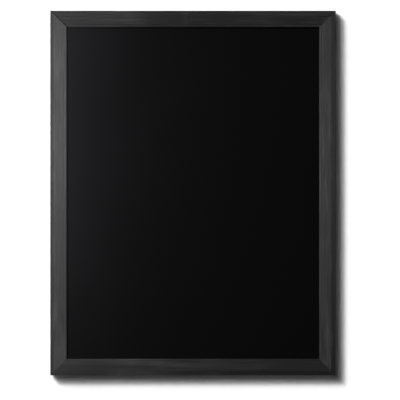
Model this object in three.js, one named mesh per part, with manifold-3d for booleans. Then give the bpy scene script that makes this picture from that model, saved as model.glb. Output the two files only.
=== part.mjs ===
// Wall chalkboard: a mitred and rebated wood frame round a black writing sheet on hardboard,
// with its corner nails, panel points, strap hangers, swinging rings and wall pads.
// Millimetres, +Z up, +Y towards the wall. The origin lies on the wall, behind the board's centre.

import * as THREE from "three";
import { mergeVertices } from "three/addons/utils/BufferGeometryUtils.js";
import Module from "manifold-3d";

const wasm = await Module();
wasm.setup();

const quarterTurn = Math.PI / 2;
const eighthTurn = Math.PI / 4;

// Driving dimensions
const board = {
  width: 700, // over the frame
  height: 894,
};

const clearance = {
  seat: 0.1, // between two flat faces that rest on each other
  driven: 0.3, // all round a fastener driven into wood
  overrun: 1, // how far a cutter reaches past the face that it opens
};

const moulding = {
  faceWidth: 40, // outer edge to sight edge
  depth: 20, // front face to back face
  roundOverWidth: 8, // the front's outer edge, measured across the face
  roundOverDepth: 4.5,
  beadWidth: 5.6, // the bead along the sight edge
  beadDrop: 1.4, // the bead's flanks below the front face
  quirkWidth: 1, // the fine groove outside the bead
  backRound: 1, // back outer arris
  lipDepth: 5, // front face to the rebate's floor
  rebateWidth: 8, // sight edge to the rebate's wall
  mitreGap: 0.3, // glue line between two rails
  arcSegments: 4, // for each quarter of an arc
};

const panel = {
  sheetThickness: 0.8,
  glueLine: 0.1,
  hardboardThickness: 3,
  edgeClearance: 1, // panel edge to the rebate's wall
};

const cornerNail = {
  thickness: 0.5,
  height: 10, // how deep it is driven
  legLength: 6,
  lipLength: 1.4, // the turned end of each leg
  lipTurn: Math.PI / 5,
  sunk: 0.3, // below the back face
  firstTip: 16, // the frame's outer corner to the first nail's point, along the mitre
  spacing: 15,
  count: 2,
};

const panelPoint = {
  thickness: 0.5,
  width: 6,
  standOut: 8, // the rebate's wall to the free end
  driven: 8, // the rebate's wall to the point
  taperLength: 3,
  pointWidth: 1.2,
  endRound: 2.4,
  countAcross: 3, // along the top and the bottom
  countUp: 4, // along each side
};

const pad = {
  thickness: 5,
  baseRadius: 8,
  faceRadius: 6.4,
  baseEdge: 0.6, // the upright edge at the frame
  edgeRound: 1.2,
  fromEnd: 62, // pad centre to the frame's top or bottom edge
  segments: 32,
};

const ring = {
  wireRadius: 0.9,
  barMargin: 0.6, // the straight bar past each side of the strap
  cornerRadius: 2.4,
  sideLength: 2.4,
  jointGap: 0.4, // between the wire's two ends, inside the strap
  steps: 76,
  sides: 10,
};

const strap = {
  thickness: 0.7,
  width: 12,
  eyeClearance: 0.25, // the ring's wire to the inside of the eye
  seam: 0.1, // between the two folded legs
  neckAngle: Math.PI / 3, // how steeply the eye closes onto the back leg
  neckRadius: 1.05,
  screwMargin: 0.5, // a screw's head to the neck, and to the ring when it lies folded down
  holeClearance: 0.3,
  belowTop: 120, // hinge axis to the frame's top edge
  arcStep: Math.PI / 12,
  holeSegments: 20,
};

const screw = {
  shankRadius: 1.45,
  length: 12, // under the head
  tipLength: 3,
  headRadius: 3.1,
  headHeight: 1.6,
  rimHeight: 0.4,
  recessWidth: 0.8,
  recessSpan: 3.6,
  recessDepth: 0.9,
  domeSegments: 4,
  segments: 24,
};

const colours = {
  stainedWood: 0x303030,
  chalkBlack: 0x0e0e10,
  hardboard: 0x6b4a2f,
  steel: 0x9b9da0,
  zinc: 0xbfc1c4,
  rubber: 0x1b1b1b,
};

// Places that follow from the driving dimensions
const backY = -(pad.thickness + clearance.seat);
const frontY = backY - moulding.depth;
const rebateFloorY = frontY + moulding.lipDepth;
const sheetFrontY = rebateFloorY + clearance.seat;
const hardboardFrontY = sheetFrontY + panel.sheetThickness + panel.glueLine;
const hardboardBackY = hardboardFrontY + panel.hardboardThickness;
const pointFrontY = hardboardBackY + clearance.seat;

const rebateWallInset = moulding.faceWidth - moulding.rebateWidth;
const backFaceInset = (moulding.backRound + rebateWallInset) / 2; // middle of the back face
const panelInset = rebateWallInset + panel.edgeClearance;

const hangerX = board.width / 2 - backFaceInset;
const hangerZ = board.height / 2 - strap.belowTop;
const padZ = board.height / 2 - pad.fromEnd;

// The hanger is worked out from its hinge axis, with depths counted from the frame's back
const eyeRadius = ring.wireRadius + strap.eyeClearance + strap.thickness / 2;
const axisDepth = clearance.seat + strap.thickness + strap.eyeClearance + ring.wireRadius;
const legStep = strap.thickness + strap.seam;
const neckStraight =
  (eyeRadius * (1 + Math.cos(strap.neckAngle)) -
    strap.neckRadius * (1 - Math.cos(strap.neckAngle)) -
    legStep) /
  Math.sin(strap.neckAngle);
const neckDrop =
  (eyeRadius + strap.neckRadius) * Math.sin(strap.neckAngle) +
  neckStraight * Math.cos(strap.neckAngle);
const screwHeadDepth = clearance.seat + strap.thickness + legStep + clearance.seat;

const barHalf = strap.width / 2 + ring.barMargin;
const bowRadius = barHalf + ring.cornerRadius;
const bowCentre = ring.cornerRadius + ring.sideLength; // hinge axis to the bow's centre
const foldedReach = bowCentre + bowRadius + ring.wireRadius;

const screwDrops = {
  upper: neckDrop + strap.screwMargin + screw.headRadius,
  lower: foldedReach + strap.screwMargin + screw.headRadius,
};

const level = { length: board.width, reach: board.height / 2, pointCount: panelPoint.countAcross };
const upright = { length: board.height, reach: board.width / 2, pointCount: panelPoint.countUp };

const sides = [
  { name: "top", rail: "top_rail", turn: 0, ...level },
  { name: "right", rail: "right_stile", turn: quarterTurn, ...upright },
  { name: "bottom", rail: "bottom_rail", turn: 2 * quarterTurn, ...level },
  { name: "left", rail: "left_stile", turn: -quarterTurn, ...upright },
];

const corners = [
  { name: "top_right", across: 1, up: 1, turn: eighthTurn },
  { name: "bottom_right", across: 1, up: -1, turn: quarterTurn + eighthTurn },
  { name: "bottom_left", across: -1, up: -1, turn: -quarterTurn - eighthTurn },
  { name: "top_left", across: -1, up: 1, turn: -eighthTurn },
];

const hangers = [
  { name: "left_hanger", side: "left", across: -1 },
  { name: "right_hanger", side: "right", across: 1 },
];

function finish(color, roughness, metalness) {
  return new THREE.MeshStandardMaterial({ color, roughness, metalness });
}

const materials = {
  wood: finish(colours.stainedWood, 0.6, 0),
  chalk: finish(colours.chalkBlack, 0.5, 0),
  hardboard: finish(colours.hardboard, 0.85, 0),
  steel: finish(colours.steel, 0.45, 0.9),
  zinc: finish(colours.zinc, 0.35, 0.9),
  rubber: finish(colours.rubber, 0.8, 0),
};

function namedMesh(name, geometry, material) {
  const mesh = new THREE.Mesh(geometry, material);
  mesh.name = name;
  return mesh;
}

// Cutting: a closed geometry becomes a solid, and the result a geometry again
function solidOf(geometry) {
  const bare = geometry.clone();
  bare.deleteAttribute("normal");
  bare.deleteAttribute("uv");
  const merged = mergeVertices(bare);
  const solidMesh = new wasm.Mesh({
    numProp: 3,
    vertProperties: merged.attributes.position.array,
    triVerts: new Uint32Array(merged.index.array),
  });
  return new wasm.Manifold(solidMesh);
}

function geometryOf(solid) {
  const result = solid.getMesh();
  const geometry = new THREE.BufferGeometry();
  geometry.setAttribute("position", new THREE.BufferAttribute(result.vertProperties, 3));
  geometry.setIndex(new THREE.BufferAttribute(result.triVerts, 1));
  geometry.computeVertexNormals();
  return geometry;
}

function cut(geometry, cutters) {
  const remaining = cutters.reduce((left, cutter) => left.subtract(solidOf(cutter)), solidOf(geometry));
  return geometryOf(remaining);
}

function extrude(shape, depth, curveSegments) {
  return new THREE.ExtrudeGeometry(shape, { depth, curveSegments, bevelEnabled: false });
}

// A shape drawn in (depth, height) becomes a bar along X, centred on the origin
function barAlongX(shape, length, curveSegments) {
  const axes = new THREE.Matrix4().makeBasis(
    new THREE.Vector3(0, 1, 0),
    new THREE.Vector3(0, 0, 1),
    new THREE.Vector3(1, 0, 0),
  );
  return extrude(shape, length, curveSegments)
    .translate(0, 0, -length / 2)
    .applyMatrix4(axes);
}

// A shape drawn in (across, height) becomes a plate between two depths
function plateBetween(shape, nearY, farY, curveSegments) {
  return extrude(shape, farY - nearY, curveSegments)
    .rotateX(quarterTurn)
    .translate(0, farY, 0);
}

function arcPoints(centre, radius, from, to, segments) {
  return Array.from({ length: segments + 1 }, (_, i) => {
    const angle = from + ((to - from) * i) / segments;
    return new THREE.Vector2(
      centre.x + radius * Math.cos(angle),
      centre.y + radius * Math.sin(angle),
    );
  });
}

// The outline of a strip of sheet metal along its bent middle line
function stripShape(middle, thickness) {
  const headings = middle.slice(1).map((point, i) => point.clone().sub(middle[i]).normalize());
  function edgePoint(i, side) {
    const before = headings[Math.max(i - 1, 0)];
    const after = headings[Math.min(i, headings.length - 1)];
    const along = before.clone().add(after).normalize();
    const reach = thickness / 2 / along.dot(after);
    return new THREE.Vector2(-along.y, along.x).multiplyScalar(side * reach).add(middle[i]);
  }
  const leftEdge = middle.map((_, i) => edgePoint(i, 1));
  const rightEdge = middle.map((_, i) => edgePoint(i, -1));
  return new THREE.Shape([...rightEdge, ...leftEdge.reverse()]);
}

// The moulding's section in (depth, height), with the outer edge at the top
function mouldingShape(outerZ) {
  const m = moulding;
  const sightZ = outerZ - m.faceWidth;
  const beadZ = sightZ + m.beadWidth;
  const flankY = frontY + m.beadDrop;
  const shape = new THREE.Shape();
  shape.moveTo(rebateFloorY, sightZ);
  shape.lineTo(rebateFloorY, outerZ - rebateWallInset);
  shape.lineTo(backY, outerZ - rebateWallInset);
  shape.lineTo(backY, outerZ - m.backRound);
  shape.absarc(backY - m.backRound, outerZ - m.backRound, m.backRound, 0, quarterTurn);
  shape.lineTo(frontY + m.roundOverDepth, outerZ);
  shape.absellipse(
    frontY + m.roundOverDepth,
    outerZ - m.roundOverWidth,
    m.roundOverDepth,
    m.roundOverWidth,
    quarterTurn,
    2 * quarterTurn,
  );
  shape.lineTo(frontY, beadZ + m.quirkWidth);
  shape.lineTo(flankY, beadZ);
  shape.absellipse(
    flankY,
    sightZ + m.beadWidth / 2,
    m.beadDrop,
    m.beadWidth / 2,
    quarterTurn,
    3 * quarterTurn,
  );
  shape.closePath();
  return shape;
}

// A rail in its side's frame: it lies along X with its outer edge up, mitred at both ends
function mitredRail(side) {
  const geometry = barAlongX(mouldingShape(side.reach), side.length, moulding.arcSegments);
  const outerEnd = side.length / 2 - (moulding.mitreGap / 2) * Math.SQRT2;
  const position = geometry.attributes.position;
  for (let i = 0; i < position.count; i++) {
    const inset = side.reach - position.getZ(i);
    position.setX(i, Math.sign(position.getX(i)) * (outerEnd - inset));
  }
  return geometry;
}

// A corner nail in its corner's frame: the mitre runs along Z, with the frame's corner at zero
function cornerNailPlate(tip, extra) {
  const n = cornerNail;
  const legStart = new THREE.Vector2(0, -tip);
  const legHeading = new THREE.Vector2(Math.sin(eighthTurn), Math.cos(eighthTurn));
  const lipHeading = legHeading.clone().rotateAround(new THREE.Vector2(), -n.lipTurn);
  const knee = legStart.clone().addScaledVector(legHeading, n.legLength);
  const end = knee.clone().addScaledVector(lipHeading, n.lipLength + extra);
  const mirrored = (point) => new THREE.Vector2(-point.x, point.y);
  const middle = [mirrored(end), mirrored(knee), legStart, knee, end];
  return stripShape(middle, n.thickness + 2 * extra);
}

function cornerNailGeometry(tip) {
  const farY = backY - cornerNail.sunk;
  return plateBetween(cornerNailPlate(tip, 0), farY - cornerNail.height, farY, 1);
}

function cornerNailSlot(tip) {
  const nearY = backY - cornerNail.sunk - cornerNail.height - clearance.driven;
  return plateBetween(cornerNailPlate(tip, clearance.driven), nearY, backY + clearance.overrun, 1);
}

function cornerNailTips() {
  return Array.from({ length: cornerNail.count }, (_, i) => cornerNail.firstTip + i * cornerNail.spacing);
}

// A panel point, with the rebate's wall at zero height and the driven end above it
function panelPointGeometry() {
  const p = panelPoint;
  const half = p.width / 2;
  const shape = new THREE.Shape();
  shape.moveTo(-half + p.endRound, -p.standOut);
  shape.lineTo(half - p.endRound, -p.standOut);
  shape.absarc(half - p.endRound, -p.standOut + p.endRound, p.endRound, -quarterTurn, 0);
  shape.lineTo(half, p.driven - p.taperLength);
  shape.lineTo(p.pointWidth / 2, p.driven);
  shape.lineTo(-p.pointWidth / 2, p.driven);
  shape.lineTo(-half, p.driven - p.taperLength);
  shape.absarc(-half + p.endRound, -p.standOut + p.endRound, p.endRound, 2 * quarterTurn, 3 * quarterTurn);
  shape.closePath();
  return plateBetween(shape, pointFrontY, pointFrontY + p.thickness, moulding.arcSegments);
}

function panelPointSlot() {
  const p = panelPoint;
  const slotHeight = p.driven + clearance.driven + clearance.overrun;
  return new THREE.BoxGeometry(
    p.width + 2 * clearance.driven,
    p.thickness + 2 * clearance.driven,
    slotHeight,
  ).translate(0, pointFrontY + p.thickness / 2, slotHeight / 2 - clearance.overrun);
}

// Evenly spaced along a side, each point in the middle of its share of the length
function panelPointPlaces(side) {
  const panelLength = side.length - 2 * panelInset;
  return Array.from(
    { length: side.pointCount },
    (_, i) => ((i + 0.5) / side.pointCount - 0.5) * panelLength,
  );
}

function pilotHole() {
  const depth = screw.length + clearance.driven;
  const radius = screw.shankRadius + clearance.driven;
  return new THREE.CylinderGeometry(radius, radius, depth + clearance.overrun, strap.holeSegments)
    .translate(0, backY - depth / 2 + clearance.overrun / 2, 0);
}

function railCutters(side) {
  const wallZ = side.reach - rebateWallInset;
  const nailSlots = [1, -1].flatMap((end) =>
    cornerNailTips().map((tip) =>
      cornerNailSlot(tip)
        .rotateY(end * eighthTurn)
        .translate((end * side.length) / 2, 0, side.reach),
    ),
  );
  const pointSlots = panelPointPlaces(side).map((x) => panelPointSlot().translate(x, 0, wallZ));
  const pilotHoles = hangers
    .filter((hanger) => hanger.side === side.name)
    .flatMap((hanger) =>
      Object.values(screwDrops).map((drop) =>
        pilotHole()
          .translate(hanger.across * hangerX, 0, hangerZ - drop)
          .rotateY(-side.turn),
      ),
    );
  return [...nailSlots, ...pointSlots, ...pilotHoles];
}

function frameSide(side) {
  const group = new THREE.Group();
  group.rotation.y = side.turn;
  group.add(namedMesh(side.rail, cut(mitredRail(side), railCutters(side)), materials.wood));
  panelPointPlaces(side).forEach((x, i) => {
    const point = namedMesh(`panel_point_${side.name}_${i + 1}`, panelPointGeometry(), materials.steel);
    point.position.set(x, 0, side.reach - rebateWallInset);
    group.add(point);
  });
  return group;
}

function frameCorner(corner) {
  const group = new THREE.Group();
  group.position.set((corner.across * board.width) / 2, 0, (corner.up * board.height) / 2);
  group.rotation.y = corner.turn;
  cornerNailTips().forEach((tip, i) => {
    group.add(namedMesh(`corner_nail_${corner.name}_${i + 1}`, cornerNailGeometry(tip), materials.steel));
  });
  return group;
}

function panelLayer(name, thickness, layerFrontY, material) {
  const width = board.width - 2 * panelInset;
  const height = board.height - 2 * panelInset;
  const layer = namedMesh(name, new THREE.BoxGeometry(width, thickness, height), material);
  layer.position.y = layerFrontY + thickness / 2;
  return layer;
}

// The strap is one folded strip: up the back leg, round the eye, and down onto the back leg
function strapMiddle() {
  const s = strap;
  const legFoot = screwDrops.lower + s.width / 2;
  const eyeTurn = 2 * quarterTurn + s.neckAngle;
  const eye = arcPoints(
    new THREE.Vector2(),
    eyeRadius,
    2 * quarterTurn,
    -s.neckAngle,
    Math.round(eyeTurn / s.arcStep),
  );
  const neckCentre = new THREE.Vector2(legStep - eyeRadius + s.neckRadius, -neckDrop);
  const neck = arcPoints(
    neckCentre,
    s.neckRadius,
    2 * quarterTurn - s.neckAngle,
    2 * quarterTurn,
    Math.round(s.neckAngle / s.arcStep),
  );
  return [
    new THREE.Vector2(-eyeRadius, -legFoot),
    ...eye,
    ...neck,
    new THREE.Vector2(legStep - eyeRadius, -legFoot),
  ];
}

// Seen from behind the strap has straight sides and a half-round foot about its lower screw
function strapOutline() {
  const half = strap.width / 2;
  const top = eyeRadius + strap.thickness;
  const shape = new THREE.Shape();
  shape.moveTo(half, top);
  shape.lineTo(-half, top);
  shape.absarc(0, -screwDrops.lower, half, 2 * quarterTurn, 4 * quarterTurn);
  shape.closePath();
  const nearY = -axisDepth - clearance.overrun;
  const farY = eyeRadius + strap.thickness + clearance.overrun;
  return plateBetween(shape, nearY, farY, strap.holeSegments / 2);
}

function strapGeometry() {
  const folded = barAlongX(
    stripShape(strapMiddle(), strap.thickness),
    strap.width + 2 * clearance.overrun,
    1,
  );
  const trimmed = geometryOf(solidOf(folded).intersect(solidOf(strapOutline())));
  const radius = screw.shankRadius + strap.holeClearance;
  const depth = 2 * (axisDepth + clearance.overrun);
  const holes = Object.values(screwDrops).map((drop) =>
    new THREE.CylinderGeometry(radius, radius, depth, strap.holeSegments)
      .translate(0, -eyeRadius, -drop),
  );
  return cut(trimmed, holes);
}

// A flat path in (across, height), stood upright
class UprightPath extends THREE.Curve {
  constructor(path) {
    super();
    this.path = path;
  }

  getPoint(share, target = new THREE.Vector3()) {
    const point = this.path.getPoint(share);
    return target.set(point.x, 0, point.y);
  }
}

// The ring is a D of wire, whose two ends meet in the middle of its straight bar
function ringGeometry() {
  const r = ring;
  const path = new THREE.Path();
  path.moveTo(r.jointGap / 2, 0);
  path.lineTo(barHalf, 0);
  path.absarc(barHalf, r.cornerRadius, r.cornerRadius, -quarterTurn, 0);
  path.lineTo(bowRadius, bowCentre);
  path.absarc(0, bowCentre, bowRadius, 0, 2 * quarterTurn);
  path.lineTo(-bowRadius, r.cornerRadius);
  path.absarc(-barHalf, r.cornerRadius, r.cornerRadius, 2 * quarterTurn, 3 * quarterTurn);
  path.lineTo(-r.jointGap / 2, 0);
  const section = new THREE.Shape(
    arcPoints(new THREE.Vector2(), r.wireRadius, 0, 4 * quarterTurn, r.sides).slice(1),
  );
  return new THREE.ExtrudeGeometry(section, { steps: r.steps, extrudePath: new UprightPath(path) });
}

// A pan-head wood screw, with the underside of its head at zero
function screwGeometry() {
  const s = screw;
  const domeHeight = s.headHeight - s.rimHeight;
  const dome = arcPoints(new THREE.Vector2(), 1, 0, quarterTurn, s.domeSegments).map(
    (unit) => new THREE.Vector2(s.headRadius * unit.x, s.rimHeight + domeHeight * unit.y),
  );
  dome[dome.length - 1].x = 0;
  const profile = [
    new THREE.Vector2(0, -s.length),
    new THREE.Vector2(s.shankRadius, -s.length + s.tipLength),
    new THREE.Vector2(s.shankRadius, 0),
    new THREE.Vector2(s.headRadius, 0),
    ...dome,
  ];
  const blank = new THREE.LatheGeometry(profile, s.segments);
  const recessHeight = s.recessDepth + clearance.overrun;
  const recessY = s.headHeight - s.recessDepth + recessHeight / 2;
  return cut(blank, [
    new THREE.BoxGeometry(s.recessSpan, recessHeight, s.recessWidth).translate(0, recessY, 0),
    new THREE.BoxGeometry(s.recessWidth, recessHeight, s.recessSpan).translate(0, recessY, 0),
  ]);
}

// A hanger's group stands on the frame's back, level with the hinge axis
function hangerGroup(hanger) {
  const group = new THREE.Group();
  group.position.set(hanger.across * hangerX, backY, hangerZ);
  const strapMesh = namedMesh(`${hanger.name}_strap`, strapGeometry(), materials.zinc);
  strapMesh.position.y = axisDepth;
  const ringMesh = namedMesh(`${hanger.name}_ring`, ringGeometry(), materials.zinc);
  ringMesh.position.y = axisDepth;
  group.add(strapMesh, ringMesh);
  Object.entries(screwDrops).forEach(([place, drop]) => {
    const screwMesh = namedMesh(`${hanger.name}_screw_${place}`, screwGeometry(), materials.zinc);
    screwMesh.position.set(0, screwHeadDepth, -drop);
    group.add(screwMesh);
  });
  return group;
}

// A moulded pad: a low cone frustum with a rounded edge round its flat face
function padGeometry() {
  const p = pad;
  const edge = arcPoints(
    new THREE.Vector2(p.faceRadius - p.edgeRound, p.thickness - p.edgeRound),
    p.edgeRound,
    0,
    quarterTurn,
    moulding.arcSegments,
  );
  edge[edge.length - 1].y = p.thickness;
  const profile = [
    new THREE.Vector2(0, 0),
    new THREE.Vector2(p.baseRadius, 0),
    new THREE.Vector2(p.baseRadius, p.baseEdge),
    ...edge,
    new THREE.Vector2(0, p.thickness),
  ];
  return new THREE.LatheGeometry(profile, p.segments);
}

function wallPad(corner) {
  const mesh = namedMesh(`wall_pad_${corner.name}`, padGeometry(), materials.rubber);
  mesh.position.set(corner.across * hangerX, -pad.thickness, corner.up * padZ);
  return mesh;
}

const chalkboard = new THREE.Group();
chalkboard.add(
  ...sides.map(frameSide),
  ...corners.map(frameCorner),
  panelLayer("chalk_sheet", panel.sheetThickness, sheetFrontY, materials.chalk),
  panelLayer("hardboard_panel", panel.hardboardThickness, hardboardFrontY, materials.hardboard),
  ...hangers.map(hangerGroup),
  ...corners.map(wallPad),
);

export default chalkboard;
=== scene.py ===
# Wall chalkboard: a black stained pine frame round a black writing sheet, hung on a white wall.
# Metres, +Z up, +Y towards the wall. Every finished piece lies where its CAD node is.

import math

import bmesh
import bpy
from mathutils import Matrix, Vector


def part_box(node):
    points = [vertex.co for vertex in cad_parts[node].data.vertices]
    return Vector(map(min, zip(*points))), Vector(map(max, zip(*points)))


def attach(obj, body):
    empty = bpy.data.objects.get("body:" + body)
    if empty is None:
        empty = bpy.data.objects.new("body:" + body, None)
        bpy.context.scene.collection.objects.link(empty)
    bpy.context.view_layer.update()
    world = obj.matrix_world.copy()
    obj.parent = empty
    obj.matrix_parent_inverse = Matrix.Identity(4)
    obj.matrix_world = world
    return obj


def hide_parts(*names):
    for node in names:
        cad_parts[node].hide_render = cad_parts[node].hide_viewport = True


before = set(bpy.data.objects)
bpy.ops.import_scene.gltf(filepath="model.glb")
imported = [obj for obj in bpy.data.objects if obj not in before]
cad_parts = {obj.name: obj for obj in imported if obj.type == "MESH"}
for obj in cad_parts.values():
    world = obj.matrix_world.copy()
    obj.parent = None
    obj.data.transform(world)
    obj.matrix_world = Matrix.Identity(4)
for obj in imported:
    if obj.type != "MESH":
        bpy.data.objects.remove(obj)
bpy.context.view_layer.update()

eighthTurn = math.pi / 4
quarterTurn = math.pi / 2
halfTurn = math.pi
fullTurn = 2 * math.pi


def mm(length):
    return length / 1000


# How closely every piece is made
making = {
    "weld": mm(0.002),  # vertices closer than this become one
    "near": mm(0.1),  # how far from a place a vertex is still picked
    "overrun": mm(1),  # how far a cutter reaches past the face that it opens
    "easeFrom": 35,  # edges steeper than this many degrees are eased
    "crease": 35,  # and those steeper than this are shaded sharp
}


# Selecting and shaping

def deselectAll():
    if bpy.context.object and bpy.context.object.mode == "EDIT":
        bpy.ops.object.mode_set(mode="OBJECT")
    bpy.ops.object.select_all(action="DESELECT")


def makeActive(piece):
    deselectAll()
    piece.select_set(True)
    bpy.context.view_layer.objects.active = piece


def editPiece(piece):
    makeActive(piece)
    bpy.ops.object.mode_set(mode="EDIT")


def nameAndEdit(name):
    piece = bpy.context.object
    piece.name = name
    piece.data.name = name
    bpy.ops.object.transform_apply(location=True, rotation=True, scale=True)
    bpy.ops.object.mode_set(mode="EDIT")
    return piece


def pick(test):
    # selects the vertices whose place passes the test, and the edges and faces between them
    bpy.ops.mesh.select_mode(type="VERT")
    bpy.ops.mesh.select_all(action="DESELECT")
    mesh = bpy.context.object.data
    shape = bmesh.from_edit_mesh(mesh)
    for vertex in shape.verts:
        if test(vertex.co):
            vertex.select_set(True)
    shape.select_flush(True)
    bmesh.update_edit_mesh(mesh)


def addPlate(name, middle, width, height):
    # a flat upright plate, parallel to the wall
    deselectAll()
    bpy.ops.mesh.primitive_plane_add(size=1, location=middle, rotation=(quarterTurn, 0, 0))
    bpy.context.object.scale = (width, height, 1)
    return nameAndEdit(name)


def addBlock(name, middle, size):
    deselectAll()
    bpy.ops.mesh.primitive_cube_add(size=1, location=middle)
    bpy.context.object.scale = size
    return nameAndEdit(name)


def drawOutline(name, places):
    # a small plane merged to one vertex, which is extruded from place to place
    deselectAll()
    bpy.ops.mesh.primitive_plane_add(size=mm(1), location=places[0])
    piece = nameAndEdit(name)
    bpy.ops.mesh.merge(type="CENTER")
    here = Vector(places[0])
    for place in places[1:]:
        there = Vector(place)
        bpy.ops.mesh.extrude_vertices_move(TRANSFORM_OT_translate={"value": there - here})
        here = there
    bpy.ops.mesh.select_all(action="SELECT")
    return piece


def extrudeBy(step):
    bpy.ops.mesh.extrude_region_move(TRANSFORM_OT_translate={"value": step})


def arcPlaces(centre, radii, start, end, steps):
    # places on an arc in (first, second) coordinates
    angles = [start + (end - start) * i / steps for i in range(steps + 1)]
    return [
        (centre[0] + radii[0] * math.cos(a), centre[1] + radii[1] * math.sin(a)) for a in angles
    ]


def closeShell():
    # merges what lies together, points the faces outwards, and leaves edit mode
    bpy.ops.mesh.select_mode(type="VERT")
    bpy.ops.mesh.select_all(action="SELECT")
    bpy.ops.mesh.remove_doubles(threshold=making["weld"])
    bpy.ops.mesh.normals_make_consistent(inside=False)
    bpy.ops.object.mode_set(mode="OBJECT")


def turnProfile(name, profile, steps):
    # a profile in (radius, height), turned about the height, which is +Y
    piece = drawOutline(name, [(radius, height, 0) for radius, height in profile])
    bpy.ops.mesh.spin(steps=steps, angle=fullTurn, center=(0, 0, 0), axis=(0, 1, 0))
    closeShell()
    return piece


def applyModifier(piece, kind, **settings):
    makeActive(piece)
    bpy.ops.object.modifier_add(type=kind)
    modifier = piece.modifiers[-1]
    for key, value in settings.items():
        setattr(modifier, key, value)
    bpy.ops.object.modifier_apply(modifier=modifier.name)


def easeEdges(piece, width, segments=2):
    # takes the sharpness off every steep edge
    applyModifier(
        piece, "BEVEL", width=width, segments=segments, limit_method="ANGLE",
        angle_limit=math.radians(making["easeFrom"]), use_clamp_overlap=True,
    )


def cutWith(piece, cutters):
    for cutter in cutters:
        applyModifier(
            piece, "BOOLEAN", operation="DIFFERENCE", solver="EXACT", object=cutter,
        )
        bpy.data.objects.remove(cutter)


def copyPiece(piece, name):
    makeActive(piece)
    bpy.ops.object.duplicate(linked=False)
    copy = bpy.context.object
    copy.name = name
    copy.data.name = name
    return copy


def moveTo(piece, turnY=0.0, location=(0, 0, 0)):
    # the piece is turned about Y and moved, and its place goes into its mesh
    makeActive(piece)
    piece.rotation_euler = (0, turnY, 0)
    piece.location = location
    bpy.ops.object.transform_apply(location=True, rotation=True, scale=True)
    return piece


def finish(piece, body, slotName, material, *nodes, crease=making["crease"]):
    makeActive(piece)
    bpy.ops.object.shade_smooth_by_angle(angle=math.radians(crease))
    # large faces keep their own normals, so that they stay flat to the eye beside small bevels
    applyModifier(piece, "WEIGHTED_NORMAL", keep_sharp=True)
    piece.data.materials.clear()
    piece.data.materials.append(material)
    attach(piece, body)
    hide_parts(*nodes)


# Materials: colours are written as sRGB hex and turned to linear here. In the dictionaries an
# entry such as cloud or relief holds the inputs of one node, under the names of its sockets.

def linear(hexColour, strength=1.0):
    channels = [int(hexColour[i:i + 2], 16) / 255 for i in (1, 3, 5)]
    lit = [c / 12.92 if c <= 0.04045 else ((c + 0.055) / 1.055) ** 2.4 for c in channels]
    return (*[c * strength for c in lit], 1.0)


def setInputs(tree, node, **inputs):
    # values, or links from other nodes, for sockets by name, or by number such as _0
    for key, value in inputs.items():
        socket = node.inputs[int(key[1:])] if key[0] == "_" else node.inputs[key.replace("_", " ")]
        if isinstance(value, bpy.types.NodeSocket):
            tree.links.new(value, socket)
        else:
            socket.default_value = value


def addNode(tree, kind, settings=None, **inputs):
    node = tree.nodes.new(kind)
    for key, value in (settings or {}).items():
        setattr(node, key, value)
    setInputs(tree, node, **inputs)
    return node


def emptyTree(owner):
    owner.use_nodes = True
    owner.node_tree.nodes.clear()
    return owner.node_tree


def newMaterial(name):
    material = bpy.data.materials.new(name)
    tree = emptyTree(material)
    shader = addNode(tree, "ShaderNodeBsdfPrincipled")
    addNode(tree, "ShaderNodeOutputMaterial", Surface=shader.outputs["BSDF"])
    return material, tree, shader


def setRamp(node, stops):
    # stops are (place, grey value or hex colour)
    ramp = node.color_ramp
    while len(ramp.elements) < len(stops):
        ramp.elements.new(0.5)
    for element, (position, tone) in zip(ramp.elements, stops):
        element.position = position
        element.color = linear(tone) if isinstance(tone, str) else (tone, tone, tone, 1.0)
    return node.outputs["Color"]


# for Math and Vector Math nodes: the first input times the second, plus the third
multiplyAdd = {"operation": "MULTIPLY_ADD"}

# Pine takes black stain unevenly: where it soaks in deep the wood is darker, and the ridges
# between stay a little greyer. The eye sees long fine streaks along each rail, cloudy patches a
# hand long, a low satin gloss that follows the soak, and in the top and bottom rails a finger
# joint, where the grain starts anew. Each rail drifts in tone from end to end, partly stain and
# partly painted light and shade. The darker bands along the stiles' outer edges and the dark
# line along an open mitre are painted shade.
stain = {
    "tones": [(0.1, "#303030"), (0.5, "#1d1d1d"), (0.95, "#0d0d0d")],  # from dry to soaked
    "roughness": 0.56,
    "anisotropy": 0.85,
    "wander": {"Scale": 1 / mm(130), "Detail": 2.0, "Roughness": 0.5},
    "wanderWidth": mm(7),
    "streaks": {"Scale": 1 / mm(2.6), "Detail": 3.0, "Roughness": 0.55},
    "streakStretch": 42,  # how many times longer than wide a streak is
    # real fibres are about 0.04 mm wide; drawn wide enough to show
    "fibres": {"Scale": 1 / mm(0.8), "Detail": 6.0, "Roughness": 0.7},
    "patches": {"Scale": 1 / mm(26), "Detail": 4.0, "Roughness": 0.55},
    "patchStretch": 4,
    "rings": {"Scale": 1 / mm(3), "Detail": 2.0, "Roughness": 0.5},
    "weights": (1.3, 0.8, 0.8, 1.4),  # what streaks, rings, fibres and patches add to the soak
    "relief": {"Strength": 0.9, "Distance": mm(0.6)},
    "fibreRelief": 0.1,  # how high the fibres stand against the streaks
    "jointShift": (0, mm(37), mm(11)),  # how far the grain jumps at a finger joint
    "jointReach": mm(28),  # to either side of the joint, for the stops below
    "jointMark": [(0.22, 0.5), (0.3, 0.1), (0.46, 0.0), (0.49, 1.0), (0.53, 0.8), (0.57, 0.5)],
    "bandWaver": mm(16),  # how far the band's inner edge strays in all
    "bandBlur": mm(3),
    # painted shade along an open mitre: its width, how dark it is, and how much smoother
    "endWidth": mm(4),
    "mitreShadeWeight": 1.2,
    "endPolish": 0.3,
}


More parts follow.
